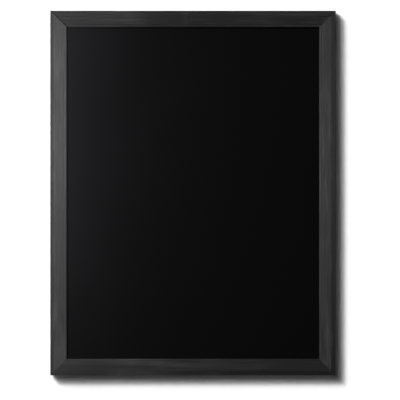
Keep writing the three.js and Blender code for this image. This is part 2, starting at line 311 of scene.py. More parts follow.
def stainedPine(side):
    # in the rail's own frame X runs along the grain and Z outwards across the face
    material, tree, shader = newMaterial("stainedPine_" + side["name"])
    s = stain
    coords = addNode(tree, "ShaderNodeTexCoord")
    railFrame = addNode(
        tree, "ShaderNodeMapping", Vector=coords.outputs["Object"], Rotation=(0, -side["turn"], 0),
    )
    place = addNode(tree, "ShaderNodeSeparateXYZ", Vector=railFrame.outputs["Vector"])
    pastJoint = addNode(
        tree, "ShaderNodeMath", {"operation": "GREATER_THAN"},
        _0=place.outputs["X"], _1=side["joint"],
    )
    jointed = addNode(
        tree, "ShaderNodeVectorMath", multiplyAdd,
        _0=pastJoint.outputs["Value"], _1=s["jointShift"], _2=railFrame.outputs["Vector"],
    )
    wander = addNode(
        tree, "ShaderNodeTexNoise", Vector=jointed.outputs["Vector"], **s["wander"],
    )
    wandering = addNode(
        tree, "ShaderNodeVectorMath", multiplyAdd,
        _0=wander.outputs["Color"], _1=(0, s["wanderWidth"], s["wanderWidth"]),
        _2=jointed.outputs["Vector"],
    ).outputs["Vector"]
    streakFrame, patchFrame = [
        addNode(
            tree, "ShaderNodeMapping", Vector=wandering,
            Scale=(1 / stretch, 1, 1), Location=(side["seed"], 0, 0),
        ).outputs["Vector"]
        for stretch in (s["streakStretch"], s["patchStretch"])
    ]
    streaks = addNode(tree, "ShaderNodeTexNoise", Vector=streakFrame, **s["streaks"])
    fibres = addNode(tree, "ShaderNodeTexNoise", Vector=streakFrame, **s["fibres"])
    patches = addNode(tree, "ShaderNodeTexNoise", Vector=patchFrame, **s["patches"])
    # growth rings: bands of uneven width about the pith, which change slowly along the rail
    fromPith = addNode(
        tree, "ShaderNodeMapping", Vector=wandering, Scale=(0, 1, 1), Location=(0, *side["pith"]),
    )
    radius = addNode(
        tree, "ShaderNodeVectorMath", {"operation": "LENGTH"}, _0=fromPith.outputs["Vector"],
    )
    slow = addNode(
        tree, "ShaderNodeMath", {"operation": "MULTIPLY"},
        _0=place.outputs["X"], _1=1 / s["streakStretch"],
    )
    ringPlace = addNode(
        tree, "ShaderNodeCombineXYZ", X=radius.outputs["Value"], Y=slow.outputs["Value"],
    )
    rings = addNode(tree, "ShaderNodeTexNoise", Vector=ringPlace.outputs["Vector"], **s["rings"])
    # tone from end to end, partly stain and partly painted light and shade
    endToEnd = addNode(
        tree, "ShaderNodeMapRange", Value=place.outputs["X"],
        From_Min=-side["halfLength"], From_Max=side["halfLength"],
    )
    stainAndShadeDrift = addNode(tree, "ShaderNodeValToRGB", Fac=endToEnd.outputs["Result"])
    stainAndShadeDrift.color_ramp.interpolation = "EASE"
    depth = setRamp(stainAndShadeDrift, side["stainAndShadeDrift"])
    # a darker band along the outer edge, whose inner edge strays as the patches do:
    # on the stiles it is painted shade, on the bottom rail deeper stain
    leaning = addNode(
        tree, "ShaderNodeMath", multiplyAdd,
        _0=place.outputs["X"], _1=side["bandLean"], _2=place.outputs["Z"],
    )
    bandPlace = addNode(
        tree, "ShaderNodeMath", multiplyAdd,
        _0=patches.outputs["Fac"], _1=s["bandWaver"], _2=leaning.outputs["Value"],
    )
    bandStart = side["reach"] - side["bandWidth"] + s["bandWaver"] / 2
    band = addNode(
        tree, "ShaderNodeMapRange", {"interpolation_type": "SMOOTHSTEP"},
        Value=bandPlace.outputs["Value"],
        From_Min=bandStart - s["bandBlur"], From_Max=bandStart + s["bandBlur"],
    )
    # the pale end before a finger joint, and the dark start after it
    nearJoint = addNode(
        tree, "ShaderNodeMapRange", Value=place.outputs["X"],
        From_Min=side["joint"] - s["jointReach"], From_Max=side["joint"] + s["jointReach"],
    )
    jointRamp = addNode(tree, "ShaderNodeValToRGB", Fac=nearJoint.outputs["Result"])
    jointMark = setRamp(jointRamp, s["jointMark"])
    # painted shade: a dark line along a mitre that stands a hair open, where shade falls in the
    # gap; the wood is also smoother there
    paintedMitreShade = 0.0
    if side["openEnd"]:
        fromEnd = addNode(
            tree, "ShaderNodeMath", multiplyAdd,
            _0=place.outputs["X"], _1=-side["openEnd"], _2=place.outputs["Z"],
        )
        mitre = side["reach"] - side["halfLength"]
        paintedMitreShade = addNode(
            tree, "ShaderNodeMapRange", Value=fromEnd.outputs["Value"],
            From_Min=mitre + s["endWidth"], From_Max=mitre + s["endWidth"] / 2,
        ).outputs["Result"]
    grainLayers = [layer.outputs["Fac"] for layer in (streaks, rings, fibres, patches)]
    layers = [*zip(s["weights"], grainLayers), (side["jointDepth"], jointMark)]
    # the drift, the stiles' edge bands and the open mitre's line put painted shade into this sum
    for weight, layer in [
        *layers, (side["bandDarkening"], band.outputs["Result"]), (s["mitreShadeWeight"], paintedMitreShade),
    ]:
        depth = addNode(
            tree, "ShaderNodeMath", multiplyAdd, _0=layer, _1=weight, _2=depth,
        ).outputs["Value"]
    # a layer is 0.5 where it is even, and the tones are spread about that
    middle = 0.5 + sum(weight for weight, layer in layers) / 2
    soakAndShade = addNode(
        tree, "ShaderNodeMapRange", Value=depth, From_Min=middle - 0.5, From_Max=middle + 0.5,
    )
    ramp = addNode(tree, "ShaderNodeValToRGB", Fac=soakAndShade.outputs["Result"])
    gloss = addNode(
        tree, "ShaderNodeMapRange", Value=soakAndShade.outputs["Result"],
        To_Min=s["roughness"] - side["dulling"], To_Max=s["roughness"] + side["dulling"],
    )
    polished = addNode(
        tree, "ShaderNodeMath", multiplyAdd,
        _0=band.outputs["Result"], _1=-side["bandPolish"], _2=gloss.outputs["Result"],
    )
    sheen = addNode(
        tree, "ShaderNodeMath", multiplyAdd,
        _0=paintedMitreShade, _1=-s["endPolish"], _2=polished.outputs["Value"],
    )
    grain = addNode(
        tree, "ShaderNodeMath", multiplyAdd,
        _0=fibres.outputs["Fac"], _1=s["fibreRelief"], _2=streaks.outputs["Fac"],
    )
    raised = addNode(tree, "ShaderNodeBump", Height=grain.outputs["Value"], **s["relief"])
    upright = side["turn"] % halfTurn != 0
    tangent = addNode(tree, "ShaderNodeCombineXYZ", **{"X" if upright else "Z": 1.0})
    setInputs(
        tree, shader, Base_Color=setRamp(ramp, s["tones"]), Roughness=sheen.outputs["Value"],
        Normal=raised.outputs["Normal"], Tangent=tangent.outputs["Vector"],
        Anisotropic=s["anisotropy"], IOR=side["refraction"],
    )
    return material


# Melamine laminate pressed against an etched plate: a dead black face with a low even sheen,
# which greys a little towards the light, and a faint pebble too fine to feel.
laminate = {
    "tones": [(0.35, "#020202"), (0.65, "#030303")],
    "sheenTint": "#f8f5ff",
    "refraction": 1.325,  # under melamine's own 1.6, because the etched face scatters most of it
    "roughness": 0.29,
    "unevenness": 0.02,  # of the roughness, from cloud to cloud
    "cloud": {"Scale": 1 / mm(180), "Detail": 2.0, "Roughness": 0.5},
    "pebble": {"Scale": 1 / mm(0.6), "Detail": 3.0, "Roughness": 0.5},
    "relief": {"Strength": 0.15, "Distance": mm(0.03)},
}


def melamineLaminate():
    material, tree, shader = newMaterial("melamineLaminate")
    m = laminate
    coords = addNode(tree, "ShaderNodeTexCoord").outputs["Object"]
    cloud = addNode(tree, "ShaderNodeTexNoise", Vector=coords, **m["cloud"])
    pebble = addNode(tree, "ShaderNodeTexNoise", Vector=coords, **m["pebble"])
    ramp = addNode(tree, "ShaderNodeValToRGB", Fac=cloud.outputs["Fac"])
    gloss = addNode(
        tree, "ShaderNodeMapRange", Value=cloud.outputs["Fac"],
        To_Min=m["roughness"] + m["unevenness"], To_Max=m["roughness"] - m["unevenness"],
    )
    raised = addNode(tree, "ShaderNodeBump", Height=pebble.outputs["Fac"], **m["relief"])
    setInputs(
        tree, shader, Base_Color=setRamp(ramp, m["tones"]), Roughness=gloss.outputs["Result"],
        Normal=raised.outputs["Normal"], Specular_Tint=linear(m["sheenTint"]), IOR=m["refraction"],
    )
    return material


# Wet-process hardboard: matted brown wood fibre, smooth in front, with the print of the
# press's wire screen on its back. The eye sees a fine brown weave with darker fibre flecks.
fibreboard = {
    "tones": [(0.34, "#4b3120"), (0.5, "#6e4c31"), (0.68, "#8a6646")],
    "roughness": 0.82,
    "screenPitch": mm(2.4),  # a real screen is about 1.3 mm; drawn coarser to show
    "screen": {"Distortion": 0.6, "Detail": 1.0, "Detail_Scale": 1.0},
    "screenShade": {"To_Min": 0.76, "To_Max": 1.12},
    "screenRelief": 0.7,  # how high the screen's print stands against the flecks
    "fleck": {"Scale": 1 / mm(1.1), "Detail": 6.0, "Roughness": 0.7, "Distortion": 0.8},
    "cloud": {"Scale": 1 / mm(70), "Detail": 4.0, "Roughness": 0.6},
    "cloudShare": 0.22,
    "relief": {"Strength": 0.5, "Distance": mm(0.25)},
}
wavePeriod = math.pi / 10  # of a Wave Texture whose scale is 1


def hardboardFibre():
    material, tree, shader = newMaterial("hardboardFibre")
    h = fibreboard
    coords = addNode(tree, "ShaderNodeTexCoord").outputs["Object"]
    waves = [
        addNode(
            tree, "ShaderNodeTexWave", {"wave_type": "BANDS", "bands_direction": direction},
            Vector=coords, Scale=wavePeriod / h["screenPitch"], **h["screen"],
        )
        for direction in ("X", "Z")
    ]
    screen = addNode(
        tree, "ShaderNodeMath", {"operation": "MULTIPLY"},
        _0=waves[0].outputs["Fac"], _1=waves[1].outputs["Fac"],
    )
    fleck = addNode(tree, "ShaderNodeTexNoise", Vector=coords, **h["fleck"])
    cloud = addNode(tree, "ShaderNodeTexNoise", Vector=coords, **h["cloud"])
    tone = addNode(
        tree, "ShaderNodeMix", {"data_type": "FLOAT"},
        Factor=h["cloudShare"], A=fleck.outputs["Fac"], B=cloud.outputs["Fac"],
    )
    ramp = addNode(tree, "ShaderNodeValToRGB", Fac=tone.outputs["Result"])
    shade = addNode(
        tree, "ShaderNodeMapRange", Value=screen.outputs["Value"], **h["screenShade"],
    )
    # a Mix node takes its colours at 6 and 7 and gives its colour at output 2
    woven = addNode(
        tree, "ShaderNodeMix", {"data_type": "RGBA", "blend_type": "MULTIPLY"},
        Factor=1.0, _6=setRamp(ramp, h["tones"]), _7=shade.outputs["Result"],
    )
    height = addNode(
        tree, "ShaderNodeMath", multiplyAdd,
        _0=screen.outputs["Value"], _1=h["screenRelief"], _2=fleck.outputs["Fac"],
    )
    raised = addNode(tree, "ShaderNodeBump", Height=height.outputs["Value"], **h["relief"])
    setInputs(
        tree, shader, Base_Color=woven.outputs[2], Normal=raised.outputs["Normal"],
        Roughness=h["roughness"],
    )
    return material


# Bright zinc plate over drawn steel: pale and slightly blue, cloudy where the passivation varies
zincPlate = {
    "tones": [(0.3, "#a9adb4"), (0.7, "#cfd1d3")],
    "roughness": 0.32,
    "cloud": {"Scale": 1 / mm(5), "Detail": 3.0, "Roughness": 0.6},
    "scuff": {"Scale": 1 / mm(1.2), "Detail": 5.0, "Roughness": 0.7, "Distortion": 1.5},
}

# Tempered spring strip, oiled: a darker grey with brown and blue heat tints
springSteel = {
    "tones": [(0.3, "#6f6c6a"), (0.7, "#8f949b")],
    "roughness": 0.38,
    "cloud": {"Scale": 1 / mm(4), "Detail": 3.0, "Roughness": 0.6},
    "scuff": {"Scale": 1 / mm(0.9), "Detail": 5.0, "Roughness": 0.7, "Distortion": 1.5},
}

# Light scuffs, alike on both metals
scuffing = {
    "range": {"From_Min": 0.3, "From_Max": 0.7},  # of the noise
    "polished": 0.07,  # how much smoother the metal is between scuffs
    "scratched": 0.1,  # how much rougher it is in them
    "relief": {"Strength": 0.12, "Distance": mm(0.03)},
}


def scuffedMetal(name, metal):
    material, tree, shader = newMaterial(name)
    coords = addNode(tree, "ShaderNodeTexCoord").outputs["Object"]
    cloud = addNode(tree, "ShaderNodeTexNoise", Vector=coords, **metal["cloud"])
    scuff = addNode(tree, "ShaderNodeTexNoise", Vector=coords, **metal["scuff"])
    ramp = addNode(tree, "ShaderNodeValToRGB", Fac=cloud.outputs["Fac"])
    gloss = addNode(
        tree, "ShaderNodeMapRange", Value=scuff.outputs["Fac"], **scuffing["range"],
        To_Min=metal["roughness"] - scuffing["polished"],
        To_Max=metal["roughness"] + scuffing["scratched"],
    )
    raised = addNode(tree, "ShaderNodeBump", Height=scuff.outputs["Fac"], **scuffing["relief"])
    setInputs(
        tree, shader, Base_Color=setRamp(ramp, metal["tones"]), Metallic=1.0,
        Roughness=gloss.outputs["Result"], Normal=raised.outputs["Normal"],
    )
    return material


# Moulded EPDM rubber: matt black with a faint bloom, and the fine stipple of the mould
rubber = {
    "tones": [(0.4, "#171718"), (0.7, "#262627")],
    "roughness": 0.78,
    "bloom": {"Scale": 1 / mm(6), "Detail": 3.0, "Roughness": 0.6},
    "stipple": {"Scale": 1 / mm(0.35), "Detail": 3.0, "Roughness": 0.6},
    "relief": {"Strength": 0.25, "Distance": mm(0.05)},
}


def mouldedRubber():
    material, tree, shader = newMaterial("mouldedRubber")
    coords = addNode(tree, "ShaderNodeTexCoord").outputs["Object"]
    bloom = addNode(tree, "ShaderNodeTexNoise", Vector=coords, **rubber["bloom"])
    stipple = addNode(tree, "ShaderNodeTexNoise", Vector=coords, **rubber["stipple"])
    ramp = addNode(tree, "ShaderNodeValToRGB", Fac=bloom.outputs["Fac"])
    raised = addNode(tree, "ShaderNodeBump", Height=stipple.outputs["Fac"], **rubber["relief"])
    setInputs(
        tree, shader, Base_Color=setRamp(ramp, rubber["tones"]), Normal=raised.outputs["Normal"],
        Roughness=rubber["roughness"],
    )
    return material


chalkBlack = melamineLaminate()
hardboard = hardboardFibre()
zinc = scuffedMetal("zincPlatedSteel", zincPlate)
steel = scuffedMetal("oiledSpringSteel", springSteel)
padRubber = mouldedRubber()
print("materials ready")


# Places taken from the CAD

def middleOf(node):
    low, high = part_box(node)
    return (low + high) / 2


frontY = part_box("top_rail")[0].y
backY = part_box("top_rail")[1].y
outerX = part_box("right_stile")[1].x
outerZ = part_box("top_rail")[1].z

# The rails: what most of them share, and then each one's place and grain
plainRail = {
    "openEnd": 0,  # 1 or -1 where the mitre at that end stands a hair open
    "refraction": 1.55,
    "joint": mm(-600),  # where the finger joint is; this lies off the rail's end
    "jointDepth": 0.0,
    "bandWidth": 0.0,  # the darker band along the outer edge
    "bandLean": 0.0,  # how much wider it gets for each metre along the rail
    # in the band the darkening is painted shade on the stiles and deeper stain on the bottom rail
    "bandDarkening": 0.0,  # how much deeper the stain is in it
    "bandPolish": 0.0,  # how much smoother it is
}

# Turn goes from the top rail's place to the rail's own, and reach out to its outer edge. Seed
# picks the grain, and pith is the (Y, Z) shift that brings the middle of the growth rings to
# zero. Dulling is how much rougher the deep stain is than the even one. The drift is (place from
# end to end, how dark the wood is, 0.5 being even); it is partly stain and partly painted light
# and shade along the rail.
sides = [
    {
        **plainRail, "name": "top", "rail": "top_rail", "turn": 0.0, "reach": outerZ,
        "halfLength": outerX, "openEnd": -1, "seed": 0.31, "pith": (mm(46), mm(-405)),
        "joint": mm(-12), "jointDepth": 0.8, "dulling": -0.04,
        "stainAndShadeDrift": [(0.1, 0.8), (0.27, 0.55), (0.37, 1.15), (0.55, 1.05), (0.7, 0.7), (0.85, 0.66)],
    },
    {
        **plainRail, "name": "right", "rail": "right_stile", "turn": quarterTurn, "reach": outerX,
        "halfLength": outerZ, "refraction": 1.47, "seed": 1.73, "pith": (mm(60), mm(-312)),
        # the band along this stile's outer edge is painted shade
        "bandWidth": mm(10), "bandDarkening": 0.5, "bandPolish": 0.12, "dulling": 0.03,
        "stainAndShadeDrift": [(0.1, 0.95), (0.25, 0.38), (0.7, 0.46), (0.86, 0.58), (0.96, 0.26)],
    },
    {
        **plainRail, "name": "bottom", "rail": "bottom_rail", "turn": halfTurn, "reach": outerZ,
        "halfLength": outerX, "seed": 2.57, "pith": (mm(38), mm(-440)),
        "joint": mm(-62), "jointDepth": 0.1, "bandWidth": mm(19), "bandLean": 0.03,
        "bandDarkening": 0.2, "bandPolish": 0.06, "dulling": -0.04,
        "stainAndShadeDrift": [(0.1, 0.97), (0.33, 0.9), (0.47, 0.65), (0.72, 0.38), (0.92, 1.05)],
    },
    {
        **plainRail, "name": "left", "rail": "left_stile", "turn": -quarterTurn, "reach": outerX,
        "halfLength": outerZ, "seed": 4.19, "pith": (mm(55), mm(-338)),
        # the band along this stile's outer edge is painted shade
        "bandWidth": mm(9), "bandDarkening": 0.4, "bandPolish": -0.08, "dulling": 0.05,
        "stainAndShadeDrift": [(0.05, 0.08), (0.35, 1.1), (0.6, 0.46), (0.9, 0.7)],
    },
]

corners = [
    {"name": "top_right", "across": 1, "up": 1, "turn": eighthTurn},
    {"name": "bottom_right", "across": 1, "up": -1, "turn": 3 * eighthTurn},
    {"name": "bottom_left", "across": -1, "up": -1, "turn": -3 * eighthTurn},
    {"name": "top_left", "across": -1, "up": 1, "turn": -eighthTurn},
]


def inRail(side, node):
    # the middle of a CAD node in the rail's own frame
    return Matrix.Rotation(-side["turn"], 3, "Y") @ middleOf(node)


# Corner nails: steel strips bent to a V, driven from the back across the mitres
cornerNail = {
    "thickness": mm(0.5),
    "height": mm(10),
    "legLength": mm(6),
    "lipLength": mm(1.4),
    "lipTurn": math.pi / 5,
    "sunk": mm(0.3),
    "tips": (mm(16), mm(31)),  # the frame's corner to each point, along the mitre
    "slotGap": mm(0.12),
    "easedEdge": mm(0.06),
}


def nailStrip(name, tip, extra):
    # drawn about the mitre line, with the frame's corner at the origin; a slot is larger by extra
    n = cornerNail
    leg = Vector((math.sin(eighthTurn), math.cos(eighthTurn)))
    lipAngle = eighthTurn + n["lipTurn"]
    lip = Vector((math.sin(lipAngle), math.cos(lipAngle)))
    knee = Vector((0, -tip)) + leg * n["legLength"]
    end = knee + lip * (n["lipLength"] + extra)
    nearY = backY - n["sunk"] - n["height"] - extra
    farY = backY + making["overrun"] if extra else backY - n["sunk"]
    line = [(-end.x, end.y), (-knee.x, knee.y), (0, -tip), (knee.x, knee.y), (end.x, end.y)]
    strip = drawOutline(name, [(x, nearY, z) for x, z in line])
    extrudeBy((0, farY - nearY, 0))
    closeShell()
    applyModifier(
        strip, "SOLIDIFY", thickness=n["thickness"] + 2 * extra, offset=0.0, use_even_offset=True,
    )
    return strip


# Panel points: flat steel driven into the rebate's wall, which hold the panel in
panelPoint = {
    "thickness": mm(0.5),
    "width": mm(6),
    "standOut": mm(8),
    "driven": mm(8),
    "taperLength": mm(3),
    "pointWidth": mm(1.2),
    "endRound": mm(2.4),
    "endSteps": 8,
    "slotGap": mm(0.12),
    "easedEdge": mm(0.07),
}


def pointPlate(name, extra):
    # drawn with the rebate's wall at height zero and the driven end above it
    p = panelPoint
    low = -making["overrun"] if extra else -p["standOut"]
    high = p["driven"] + extra
    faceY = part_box("panel_point_top_1")[0].y - extra
    plate = addPlate(name, (0, faceY, (low + high) / 2), p["width"] + 2 * extra, high - low)
    if not extra:
        bpy.ops.mesh.bisect(plane_co=(0, 0, high - p["taperLength"]), plane_no=(0, 0, 1))
        pick(lambda v: v.z > high - making["near"])
        bpy.ops.transform.resize(
            value=(p["pointWidth"] / p["width"], 1, 1), center_override=(0, faceY, high),
        )
        pick(lambda v: v.z < low + making["near"])
        bpy.ops.mesh.bevel(offset=p["endRound"], segments=p["endSteps"], affect="VERTICES")
    bpy.ops.mesh.select_all(action="SELECT")
    extrudeBy((0, p["thickness"] + 2 * extra, 0))
    closeShell()
    return plate


def pointPlaces(side):
    # how far along its side each point is, read from its CAD node
    start = "panel_point_" + side["name"]
    return [inRail(side, node).x for node in sorted(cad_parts) if node.startswith(start)]


# Screws: cross-recessed pan heads
screw = {
    "shankRadius": mm(1.45),
    "length": mm(12),
    "tipLength": mm(3),
    "headRadius": mm(3.1),
    "headHeight": mm(1.6),
    "rimHeight": mm(0.4),
    "recessWidth": mm(0.8),
    "recessSpan": mm(3.6),
    "recessDepth": mm(0.9),
    "recessTaper": 0.6,  # the blade that cuts it: its foot's width to its top's
    "underHead": mm(1.7),  # the frame's back to the head's underside
    "pilotGap": mm(0.05),  # round the shank in the wood
    "turns": (0.35, 1.25),  # how far the upper and the lower screw's cross is turned
    "easedEdge": mm(0.08),
    "steps": 48,
    "domeSteps": 10,
}

# side is the stile that the hanger is on, and ring the CAD body that its ring moves with
hangers = [
    {"name": "left_hanger", "side": "left", "ring": "left_ring"},
    {"name": "right_hanger", "side": "right", "ring": "right_ring"},
]


def screwNodes(hanger):
    return [f"{hanger['name']}_screw_{place}" for place in ("upper", "lower")]


def rod(name, radius, nearY, farY, x, z):
    deselectAll()
    bpy.ops.mesh.primitive_cylinder_add(
        vertices=screw["steps"], radius=radius, depth=farY - nearY,
        location=(x, (nearY + farY) / 2, z), rotation=(quarterTurn, 0, 0),
    )
    piece = nameAndEdit(name)
    bpy.ops.object.mode_set(mode="OBJECT")
    return piece


# Rails: the moulding's section drawn once for each side, extruded, and sawn to mitres
moulding = {
    "faceWidth": mm(40),
    "roundOver": (mm(1.7), mm(1.6)),  # depth and width of the rounded outer edge
    "slopeDepth": mm(2.8),  # from the face down to where the rounded edge meets the side
    "slopeTilt": math.radians(6.5),
    "slopeArris": mm(0.4),
    "beadWidth": mm(5.6),
    "beadDrop": mm(0.6),
    "quirkWidth": mm(1),
    "backRound": mm(1),
    "lipDepth": mm(5),
    "rebateWidth": mm(8),
    "mitreGap": mm(0.03),  # glued tight; the eased arrises draw the line of the joint
    "openMitre": mm(0.12),
    "easedArris": mm(0.22),
    "arcSteps": 12,  # for each quarter turn in front; the back arris has half as many
    "sawnOff": mm(60),  # drawn past each mitre before it is sawn
    "crease": 20,
}


def rebateReach(side):
    # the rebate's wall, outwards from the board's middle
    return side["reach"] - moulding["faceWidth"] + moulding["rebateWidth"]


def mouldingOutline(side):
    # in (depth, height), from the sight edge round the back to the bead
    m = moulding
    reach = side["reach"]
    sight = reach - m["faceWidth"]
    rebateWall = rebateReach(side)
    floorY = frontY + m["lipDepth"]
    backArc = arcPlaces(
        (backY - m["backRound"], reach - m["backRound"]),
        (m["backRound"], m["backRound"]), 0, quarterTurn, m["arcSteps"] // 2,
    )
    deep, wide = m["roundOver"]
    slope = math.tan(m["slopeTilt"])
    roundOver = arcPlaces(
        (frontY + m["slopeDepth"], reach - wide), (deep, wide),
        quarterTurn, halfTurn - math.atan(slope * wide / deep), m["arcSteps"],
    )
    slopeStart = roundOver[-1][1] - (roundOver[-1][0] - frontY) / slope
    arris = m["slopeArris"] / 2
    roundOver += [(frontY + arris * slope, slopeStart + arris), (frontY, slopeStart - arris)]
    beadArc = arcPlaces(
        (frontY + m["beadDrop"], sight + m["beadWidth"] / 2),
        (m["beadDrop"], m["beadWidth"] / 2), quarterTurn, 3 * quarterTurn, 2 * m["arcSteps"],
    )
    return [
        (floorY, sight), (floorY, rebateWall), (backY, rebateWall), *backArc, *roundOver,
        (frontY, sight + m["beadWidth"] + m["quirkWidth"]), *beadArc,
    ]


def railCutters(side):
    # the slots and holes that the nails, points and screws sit in
    cutters = []
    for end in (1, -1):
        corner = (end * side["halfLength"], 0, side["reach"])
        for tip in cornerNail["tips"]:
            slot = nailStrip("nailSlot", tip, cornerNail["slotGap"])
            cutters.append(moveTo(slot, end * eighthTurn, corner))
    for x in pointPlaces(side):
        slot = pointPlate("pointSlot", panelPoint["slotGap"])
        cutters.append(moveTo(slot, 0.0, (x, 0, rebateReach(side))))
    holeRadius = screw["shankRadius"] + screw["pilotGap"]
    holeEnds = (backY - screw["length"], backY + making["overrun"])
    for hanger in hangers:
        if hanger["side"] == side["name"]:
            for node in screwNodes(hanger):
                axis = inRail(side, node)
                cutters.append(rod("pilotHole", holeRadius, *holeEnds, axis.x, axis.z))
    return cutters


def makeRail(side):
    m = moulding
    startX = -side["halfLength"] - m["sawnOff"]
    rail = drawOutline(side["rail"] + "_wood", [(startX, y, z) for y, z in mouldingOutline(side)])
    bpy.ops.mesh.edge_face_add()
    extrudeBy((-2 * startX, 0, 0))
    for end in (1, -1):
        gap = m["openMitre"] if end == side["openEnd"] else m["mitreGap"]
        sawnX = side["halfLength"] - gap / math.sqrt(2)
        bpy.ops.mesh.select_all(action="SELECT")
        bpy.ops.mesh.bisect(
            plane_co=(end * sawnX, 0, side["reach"]), plane_no=(end, 0, -1),
            use_fill=True, clear_outer=True,
        )
    closeShell()
    easeEdges(rail, m["easedArris"])
    cutWith(rail, railCutters(side))
    moveTo(rail, side["turn"])
    finish(rail, "frame", "stained_wood", stainedPine(side), side["rail"], crease=m["crease"])


for side in sides:
    makeRail(side)
print("rails made")

for corner in corners:
    for i, tip in enumerate(cornerNail["tips"]):
        node = f"corner_nail_{corner['name']}_{i + 1}"
        nail = nailStrip(node + "_steel", tip, 0.0)
        easeEdges(nail, cornerNail["easedEdge"], segments=1)
        moveTo(nail, corner["turn"], (corner["across"] * outerX, 0, corner["up"] * outerZ))
        finish(nail, "frame", "spring_steel", steel, node)
print("corner nails made")

pointPattern = pointPlate("pointPattern", 0.0)
easeEdges(pointPattern, panelPoint["easedEdge"], segments=1)
for side in sides:
    for i, x in enumerate(pointPlaces(side)):
        node = f"panel_point_{side['name']}_{i + 1}"
        point = copyPiece(pointPattern, node + "_steel")
        moveTo(point, 0.0, (x, 0, rebateReach(side)))
        moveTo(point, side["turn"])
        finish(point, "frame", "spring_steel", steel, node)
bpy.data.objects.remove(pointPattern)
print("panel points made")

# The writing sheet and the hardboard behind it
panelLayers = {
    "chalk_sheet": {"eased": mm(0.12), "slot": "chalk_surface", "material": chalkBlack},
    "hardboard_panel": {"eased": mm(0.35), "slot": "hardboard", "material": hardboard},
}
easedSteps = 3

for node, layer in panelLayers.items():
    low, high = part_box(node)
    board = addBlock(node + "_board", (low + high) / 2, high - low)
    bpy.ops.mesh.select_all(action="SELECT")
    bpy.ops.mesh.bevel(offset=layer["eased"], segments=easedSteps, affect="EDGES")
    closeShell()
    finish(board, "frame", layer["slot"], layer["material"], node)
print("panel made")

# Strap hangers: a strip folded over the ring's bar, with two screws through both legs
strap = {
    "thickness": mm(0.7),
    "width": mm(12),
    "eyeRadius": mm(1.5),  # the hinge axis to the middle of the strip
    "legStep": mm(0.8),  # the middle of one leg to the middle of the other
    "neckAngle": math.pi / 3,
    "neckRadius": mm(1.05),
    "footDrop": mm(24.3),
    "holeRadius": mm(1.75),
    "holeReach": mm(4),  # the frame's back to the end of the holes' cutters
    "axisDepth": mm(1.95),  # the frame's back to the hinge axis
    "eyeSteps": 32,
    "neckSteps": 8,
    "footSteps": 12,
    "easedEdge": mm(0.12),
}


def hangerAxis(hanger):
    # the middle of the hinge axis, from the strap's CAD node
    low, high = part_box(hanger["name"] + "_strap")
    top = high.z - strap["eyeRadius"] - strap["thickness"] / 2
    return Vector(((low.x + high.x) / 2, backY + strap["axisDepth"], top))


def makeStrap(hanger):
    # up the leg that lies on the frame, round the eye, and by the neck down onto that leg; a spin
    # turns left-handed about its axis
    s = strap
    axis = hangerAxis(hanger)
    sine = math.sin(s["neckAngle"])
    cosine = math.cos(s["neckAngle"])
    flankDepth = s["eyeRadius"] * (1 + cosine) - s["neckRadius"] * (1 - cosine) - s["legStep"]
    flank = flankDepth / sine
    neckDrop = (s["eyeRadius"] + s["neckRadius"]) * sine + flank * cosine
    legY = axis.y - s["eyeRadius"]
    piece = addPlate(
        hanger["name"] + "_strap_plate", (axis.x, legY, axis.z - s["footDrop"] / 2),
        s["width"], s["footDrop"],
    )
    pick(lambda v: v.z > axis.z - making["near"])
    bpy.ops.mesh.spin(
        steps=s["eyeSteps"], angle=halfTurn + s["neckAngle"], center=axis, axis=(1, 0, 0),
    )
    extrudeBy(Vector((0, -sine, -cosine)) * flank)
    neckCentre = (axis.x, legY + s["legStep"] + s["neckRadius"], axis.z - neckDrop)
    bpy.ops.mesh.spin(
        steps=s["neckSteps"], angle=s["neckAngle"], center=neckCentre, axis=(-1, 0, 0),
    )
    extrudeBy((0, 0, neckDrop - s["footDrop"]))
    closeShell()
    editPiece(piece)
    pick(lambda v: v.z < axis.z - s["footDrop"] + making["near"])
    bpy.ops.mesh.bevel(
        offset=s["width"] / 2, segments=s["footSteps"], affect="VERTICES", clamp_overlap=False,
    )
    closeShell()
    applyModifier(piece, "SOLIDIFY", thickness=s["thickness"], offset=0.0, use_even_offset=True)
    cutWith(piece, [
        rod("strapHole", s["holeRadius"], backY, backY + s["holeReach"], axis.x, middleOf(node).z)
        for node in screwNodes(hanger)
    ])
    easeEdges(piece, s["easedEdge"])
    finish(piece, "frame", "zinc_plate", zinc, hanger["name"] + "_strap")


# Rings: a D of round wire, its two ends meeting inside the strap's eye
ringWire = {
    "radius": mm(0.9),
    "sides": 20,
    "barHalf": mm(6.6),
    "cornerRadius": mm(2.4),
    "sideLength": mm(2.4),
    "jointGap": mm(0.4),
    "cornerSteps": 10,
    "bowSteps": 48,
    "easedEnd": mm(0.1),
}


